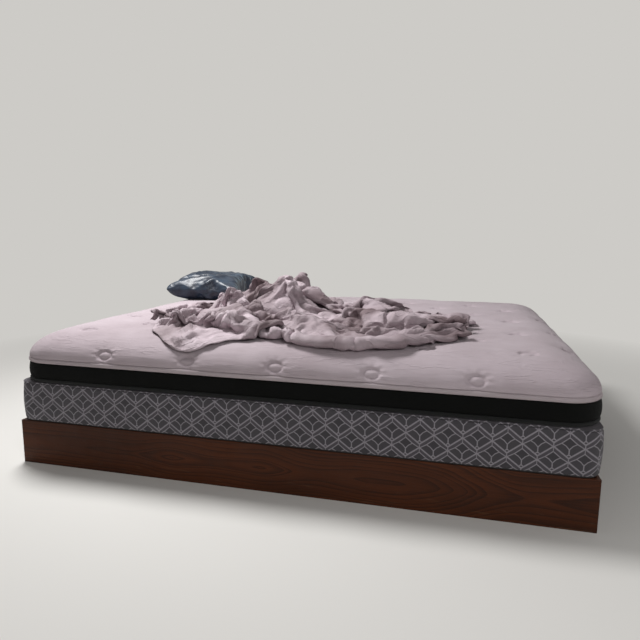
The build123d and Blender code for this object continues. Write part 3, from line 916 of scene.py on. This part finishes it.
bm = bmesh.new()
counts = [round(side / sheet_step) for side in sheet_size]
bmesh.ops.create_grid(bm, x_segments=counts[0], y_segments=counts[1], size=0.5)
chart = bm.loops.layers.uv.new("cloth")
for face in bm.faces:
    for loop in face.loops:
        loop[chart].uv = [along * side for along, side in zip(loop.vert.co.xy, sheet_size)]
flat = [Vector((v.co.x * sheet_size[0], v.co.y * sheet_size[1], 0)) for v in bm.verts]
for v in bm.verts:
    v.co = thrown_place(v.co.x + 0.5, v.co.y + 0.5)
laid_out = make_object("cloth", bm)
coarse = settle(laid_out, flat, frames=40, quality=4, stiffness=22.0, bending=0.12, gap=0.007)

creased_larger = 1.03
bm = bmesh.new()
bm.from_mesh(coarse)
bmesh.ops.subdivide_edges(bm, edges=bm.edges, cuts=1, use_grid_fill=True, smooth=1.0)
chart = bm.loops.layers.uv["cloth"]
flat = [Vector((0, 0, 0)) for v in bm.verts]
bm.verts.index_update()
for face in bm.faces:
    for loop in face.loops:
        flat[loop.vert.index] = Vector((*loop[chart].uv, 0)) * creased_larger
laid_out = make_object("cloth", bm)
fine = settle(laid_out, flat, frames=8, quality=3, stiffness=22.0, bending=0.03, gap=0.004)
for obstacle in obstacles:
    bpy.data.objects.remove(obstacle)

# Sheet and pillow lie on the tufted cloth, so no point of theirs is left below that surface
bm = bmesh.new()
bm.from_mesh(tufted.data)
surface = bvhtree.BVHTree.FromBMesh(bm)
bm.free()


def lift_over_mattress(bm, gap):
    """Raises each point that lies under the mattress top's surface to the gap above it."""
    for v in bm.verts:
        place = surface.ray_cast(Vector((v.co.x, v.co.y, top_high.z + 0.2)), Vector((0, 0, -1)))[0]
        if place and v.co.z < place.z + gap:
            v.co.z = place.z + gap


def calm(bm, rounds):
    """Moves each point half way to the middle of its neighbours, a number of times."""
    axes = {"use_axis_x": True, "use_axis_y": True, "use_axis_z": True}
    for _ in range(rounds):
        bmesh.ops.smooth_vert(bm, verts=bm.verts, factor=0.5, **axes)


def sharpen_folds(bm, strength, rounds=2):
    """Draws each point away from where more rounds of calming take it, which makes folds crisper."""
    before = [v.co.copy() for v in bm.verts]
    calm(bm, rounds)
    for v, place in zip(bm.verts, before):
        v.co = place + (place - v.co) * strength


def press_creases(bm, chart, depth, scale):
    """Presses long creases into cloth along slanting lines, some inwards and some outwards."""
    bm.normal_update()
    for v in bm.verts:
        spot = v.link_loops[0][chart].uv
        slanting = Vector((0.9 * spot.x + 0.42 * spot.y, 2.0 * spot.y - 0.95 * spot.x, 0.5))
        line = max(0.0, 1 - abs(noise.noise(slanting * scale)) / 0.16) ** 1.3
        side = noise.noise(Vector((spot.x, spot.y, 2.7)) * scale / 2)
        v.co += v.normal * depth * line * max(-1.0, min(1.0, 5 * side))


# Place along the bed, and the share of its height that the settled cloth keeps there
settled_course = ((-0.10, 1.0), (0.15, 0.70), (0.75, 0.70))
peak_start = 0.130
peak_share = 0.65
calm_rounds = 2
fold_strength = 0.9
fold_rounds = 6
crease_depth = 0.005
crease_scale = 6.0
sheet_gap = 0.002

bm = bmesh.new()
bm.from_mesh(fine)
for v in bm.verts:
    height = v.co.z - top_high.z
    if height > 0:
        height *= between(settled_course, v.co.x)[0]
        v.co.z = top_high.z + min(height, peak_start + (height - peak_start) * peak_share)
calm(bm, calm_rounds)
sharpen_folds(bm, fold_strength, fold_rounds)
press_creases(bm, bm.loops.layers.uv["cloth"], crease_depth, crease_scale)
lift_over_mattress(bm, sheet_gap)
sheet_pale = colour(192, 176, 183)
# The second, much darker colour is painted shade.
sheet_painted_shade = colour(112, 94, 98)
sheet_cloth, tree, shader = new_material("light sheet cloth", Sheen_Weight=0.06, Sheen_Roughness=0.4)
chart = add(tree, "UVMap", uv_map="cloth").outputs[0]
woven = add(tree, "Group", {"Vector": chart, "Threads": 1000.0}, node_tree=weave).outputs[0]
crumple = cloud(tree, chart, 30.0, 3.0, 0.5)
long_lines = creased(tree, chart, width=0.06, patch=0.40, turn=(0, 0, 25), scale=(14, 26, 1))
short_lines = creased(tree, chart, width=0.06, patch=0.50, turn=(0, 0, -40), scale=(60, 90, 1))
# Large soft patches take the darker colour: painted shade laid over the sheet in place of the shade between
# its folds.
painted_shade_patches = cloud(tree, chart, 3.0, 4.0)
paint = mixed(tree, ramp(tree, painted_shade_patches, 0.38, 0.62), sheet_pale, sheet_painted_shade)
height = maths(tree, "MULTIPLY_ADD", long_lines, 0.7, maths(tree, "MULTIPLY", short_lines, 0.3))
small = maths(tree, "MULTIPLY_ADD", woven, 0.05, maths(tree, "MULTIPLY", crumple, 0.25))
height = maths(tree, "ADD", height, small)
connect(tree, shader, paint, ramp(tree, crumple, 0.3, 0.7, 0.62, 0.8), height, 0.0028)
sheet = add_piece("rumpled_sheet", bm, sheet_cloth, "deck")
thickness = sheet.modifiers.new("Thickness", "SOLIDIFY")
thickness.thickness = sheet_thickness
thickness.offset = 0.0
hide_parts("sheet_heap")

# Pillow
# A small pillow in dark blue satin: two flat panels sewn together round their edges, puffed up by
# a loose filling until the seams pucker, and laid in the back corner.
pillow_flat = (0.37, 0.545)
pillow_step = 0.009
pillow_turn = 0.10
pillow_sink = 0.012
pillow_gap = 0.003
panel_gap = 0.004
panel_wave = 0.004
pillow_fold_strength = 0.6
pillow_creases = ((0.014, 6.0), (-0.006, 13.0))
pillow_low, pillow_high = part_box("pillow")
pillow_middle = (pillow_low + pillow_high) / 2
bm = bmesh.new()
counts = [round(side / pillow_step) for side in pillow_flat]
bmesh.ops.create_grid(bm, x_segments=counts[0], y_segments=counts[1], size=0.5)
bmesh.ops.scale(bm, verts=bm.verts, vec=(*pillow_flat, 1))
chart = bm.loops.layers.uv.new("cloth")
for face in bm.faces:
    for loop in face.loops:
        loop[chart].uv = loop.vert.co.xy
second = bmesh.ops.duplicate(bm, geom=bm.verts[:] + bm.edges[:] + bm.faces[:])
for v in second["geom"]:
    if isinstance(v, bmesh.types.BMVert):
        v.co.z = -panel_gap
low_rim = [v for v in bm.verts if v.is_boundary and v.co.z < 0]
bmesh.ops.translate(bm, verts=low_rim, vec=(0, 0, panel_gap))
bmesh.ops.remove_doubles(bm, verts=[v for v in bm.verts if v.is_boundary], dist=0.001)
bmesh.ops.recalc_face_normals(bm, faces=bm.faces)
flat = [v.co.copy() for v in bm.verts]
for v in bm.verts:
    v.co.z += panel_wave * noise.noise(v.co * 7)
filling = {"gap": 0.0, "gravity": 0.0, "pressure": 2.6}
sewn = make_object("cloth", bm)
puffed = settle(sewn, flat, frames=16, quality=6, stiffness=20.0, bending=0.02, **filling)
bm = bmesh.new()
bm.from_mesh(puffed)
lowest = min(v.co.z for v in bm.verts)
highest = max(v.co.z for v in bm.verts)
squeeze = (pillow_high.z - pillow_low.z) / max(highest - lowest, 0.001)
turn = Matrix.Rotation(pillow_turn, 4, "Z")
for v in bm.verts:
    v.co.z = (v.co.z - lowest) * squeeze
    v.co = turn @ v.co + Vector((pillow_middle.x, pillow_middle.y, pillow_low.z - pillow_sink))
sharpen_folds(bm, pillow_fold_strength)
for depth, scale in pillow_creases:
    press_creases(bm, bm.loops.layers.uv["cloth"], depth, scale)
lift_over_mattress(bm, pillow_gap)
# The darker satin colour is painted shade and the paler one painted highlight.
satin_painted_shade = colour(18, 23, 38)
satin_painted_highlight = colour(44, 60, 78)
satin_sheen = colour(120, 160, 180)
satin, tree, shader = new_material(
    "dark blue satin", Sheen_Weight=0.22, Sheen_Roughness=0.3, Sheen_Tint=satin_sheen
)
chart = add(tree, "UVMap", uv_map="cloth").outputs[0]
threads = cloud(tree, moved(tree, chart, scale=(1200, 160, 1)), 1.0, 2.0)
crumple = cloud(tree, chart, 12.0, 3.0, 0.5)
lines = creased(tree, chart, width=0.08, patch=0.40, turn=(0, 0, 35), scale=(9, 18, 1))
# The satin is painted paler where the crumple noise raises the bump and darker where it sinks: painted
# highlight on the crumples and painted shade in their hollows.
paint = mixed(tree, ramp(tree, crumple, 0.35, 0.7), satin_painted_shade, satin_painted_highlight)
height = maths(tree, "MULTIPLY_ADD", lines, 0.5, maths(tree, "MULTIPLY_ADD", threads, 0.02, crumple))
connect(tree, shader, paint, ramp(tree, threads, 0.3, 0.7, 0.34, 0.48), height, 0.004)
pillow = add_piece("satin_pillow", bm, satin, "deck")
smoother = pillow.modifiers.new("Smooth", "SUBSURF")
smoother.levels = smoother.render_levels = 1
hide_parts("pillow")

# Studio
# A pale floor, a soft lamp above the left of the bed, a wider and weaker one right of the camera,
# and even light all round. The camera looks at the front of the bed from right of its middle.
backdrop_paint = colour(205, 203, 199)
floor_paint = colour(222, 220, 216)
floor_reach = 14.0
floor_near, floor_far = 1.1, 3.0
all_round_strength = 0.23
camera_place = (0.53, -2.302, 0.81)
camera_turn, camera_tilt, camera_roll = 13.99, -8.98, -0.43
camera_lens, camera_sensor = 30.94, 36.0


def seen_or_lit(tree, seen, lit, output):
    """Shows one shader to the camera and in gloss, and lights the object by the other."""
    rays = add(tree, "LightPath").outputs
    look = maths(tree, "MAXIMUM", rays["Is Camera Ray"], rays["Is Glossy Ray"])
    both = add(tree, "MixShader", {0: look, 1: lit, 2: seen})
    tree.links.new(both.outputs[0], tree.nodes[output].inputs["Surface"])


bm = bmesh.new()
bmesh.ops.create_grid(bm, x_segments=1, y_segments=1, size=floor_reach)
floor = make_object("studio_floor", bm)
floor_material, tree, shader = new_material("studio floor", Roughness=0.9)
shader.inputs["Base Color"].default_value = floor_paint
spot = add(tree, "TexCoord").outputs["Object"]
away = add(tree, "VectorMath", {0: spot}, operation="LENGTH").outputs["Value"]
distant = add(tree, "Emission", {"Color": backdrop_paint, "Strength": 1.0}).outputs[0]
far_off = ramp(tree, away, floor_near, floor_far)
fading = add(tree, "MixShader", {0: far_off, 1: shader.outputs[0], 2: distant})
seen_or_lit(tree, fading.outputs[0], shader.outputs[0], "Material Output")
floor.data.materials.append(floor_material)


def soft_lamp(name, place, aim, size, power):
    """A round soft lamp turned to the point it lights."""
    light = bpy.data.lights.new(name, "AREA")
    light.shape = "DISK"
    light.size = size
    light.energy = power
    lamp = bpy.data.objects.new(name, light)
    lamp.location = place
    lamp.rotation_euler = (Vector(aim) - Vector(place)).to_track_quat("-Z", "Y").to_euler()
    bpy.context.scene.collection.objects.link(lamp)


soft_lamp("lamp_over_bed", place=(-1.2, -0.1, 2.4), aim=(0, 0, 0.4), size=0.8, power=74)
soft_lamp("lamp_by_camera", place=(1.7, -3.0, 1.9), aim=(0, 0, 0.3), size=1.4, power=30)

world = bpy.data.worlds.new("studio")
world.use_nodes = True
tree = world.node_tree
even_light = {"Color": colour(206, 204, 202), "Strength": all_round_strength}
all_round = add(tree, "Background", even_light).outputs[0]
backdrop = add(tree, "Background", {"Color": backdrop_paint, "Strength": 1.0}).outputs[0]
seen_or_lit(tree, backdrop, all_round, "World Output")
bpy.context.scene.world = world

camera_data = bpy.data.cameras.new("camera")
camera_data.sensor_width = camera_sensor
camera_data.lens = camera_lens
camera = bpy.data.objects.new("camera", camera_data)
camera.matrix_world = (
    Matrix.Translation(camera_place)
    @ Matrix.Rotation(radians(camera_turn), 4, "Z")
    @ Matrix.Rotation(radians(camera_tilt), 4, "X")
    @ Matrix.Rotation(radians(camera_roll), 4, "Y")
    @ Matrix.Rotation(radians(90), 4, "X")
)
bpy.context.scene.collection.objects.link(camera)
bpy.context.scene.camera = camera
bpy.context.scene.view_settings.view_transform = "Standard"
